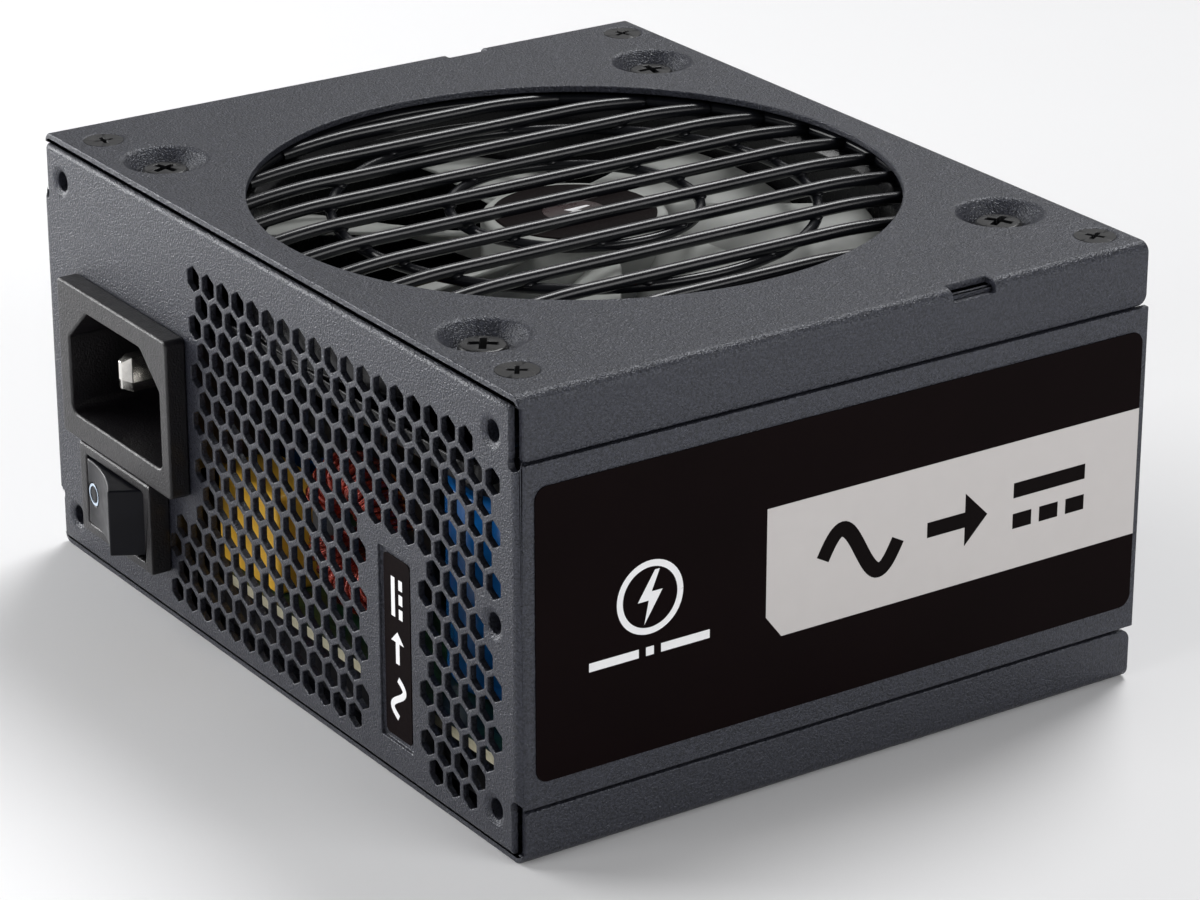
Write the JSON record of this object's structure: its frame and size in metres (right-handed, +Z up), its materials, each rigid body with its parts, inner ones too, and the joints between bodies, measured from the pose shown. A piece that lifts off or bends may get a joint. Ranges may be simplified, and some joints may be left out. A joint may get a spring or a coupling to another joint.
{
  "type": "power supply unit",
  "caption": "Small-form-factor computer power supply: folded steel case, fan under a wire grille, mains inlet, rocker switch, vented rear panel and modular output sockets.",
  "frame": {"origin": "centre of the case's bottom face", "axes": "+X across the rear panel towards the labelled side, +Y from the rear panel (mains inlet) to the socket face, +Z up to the fan side"},
  "size_m": [0.1252, 0.1076, 0.0635],
  "materials": {
    "powder_coat": "fine textured powder coat",
    "black_screw": "black oxide, satin",
    "steel": "plain",
    "label_film": "satin printed film",
    "grille_wire": "gloss black enamel",
    "fan_plastic": "gloss moulded",
    "blade_plastic": "satin moulded, warm grey",
    "bronze": "sintered bronze",
    "ferrite": "matte ferrite",
    "copper_wire": "enamelled copper",
    "circuit_board": "solder mask",
    "black_plastic": "fine moulded texture",
    "nickel_plate": "nickel plate",
    "rocker_plastic": "satin gloss",
    "mark_paint": "printed mark",
    "insulator_film": "matte film",
    "yellow_plastic": "moulded box",
    "blue_sleeve": "shrink sleeve",
    "ceramic": "glazed",
    "component_plastic": "moulded epoxy",
    "aluminium": "mill finish",
    "tape": "polyester tape",
    "dark_sleeve": "shrink sleeve",
    "socket_plastic": "moulded nylon",
    "brass": "tinned brass"
  },
  "bodies": {
    "case": {"case_frame": "powder_coat", "top_cover": "powder_coat", "bottom_cover": "powder_coat", "front_panel": "powder_coat", "cover_screws": "black_screw", "bottom_screws": "black_screw", "fan_screws": "black_screw", "board_screws": "steel", "side_label": "label_film", "rear_label": "label_film", "grille_bars": "grille_wire", "grille_rings": "grille_wire", "fan_frame": "fan_plastic", "fan_motor_mount": "fan_plastic", "fan_bearing": "bronze", "fan_stator": "steel", "fan_coils": "copper_wire", "fan_circuit_board": "circuit_board", "inlet_body": "black_plastic", "inlet_pins": "nickel_plate", "switch_housing": "black_plastic", "switch_terminals": "nickel_plate", "switch_pivot_pin": "steel", "main_circuit_board": "circuit_board", "board_spacers": "steel", "insulator_sheet": "insulator_film", "line_capacitor": "yellow_plastic", "choke_core": "ferrite", "choke_winding": "copper_wire", "bulk_capacitor": "blue_sleeve", "small_disc_capacitors": "blue_sleeve", "fuse": "ceramic", "bridge_rectifier": "component_plastic", "primary_heatsink": "aluminium", "power_transistors": "component_plastic", "boost_inductor_core": "ferrite", "boost_inductor_winding": "copper_wire", "transformer_core": "ferrite", "transformer_winding": "tape", "output_heatsink": "aluminium", "output_capacitors": "dark_sleeve", "control_board": "circuit_board", "socket_board": "circuit_board", "socket_main_wide": "socket_plastic", "socket_main_narrow": "socket_plastic", "socket_graphics": "socket_plastic", "socket_processor": "socket_plastic", "socket_drive_left": "socket_plastic", "socket_drive_right": "socket_plastic", "socket_pins": "brass"},
    "fan_wheel": {"fan_rotor": "blade_plastic", "fan_hub_label": "label_film", "fan_shaft": "steel", "fan_magnet_ring": "ferrite"},
    "rocker": {"switch_rocker": "rocker_plastic", "rocker_marks": "mark_paint"}
  },
  "joints": [
    {"name": "fan_spin", "type": "hinge", "parent": "case", "child": "fan_wheel", "pos_m": [0, 0, 0.055], "axis": [0, 0, 1], "continuous": true},
    {"name": "rocker_tilt", "type": "hinge", "parent": "case", "child": "rocker", "pos_m": [-0.038, -0.0492, 0.0146], "axis": [0, 0, 1], "range_deg": [0, 30]}
  ]
}
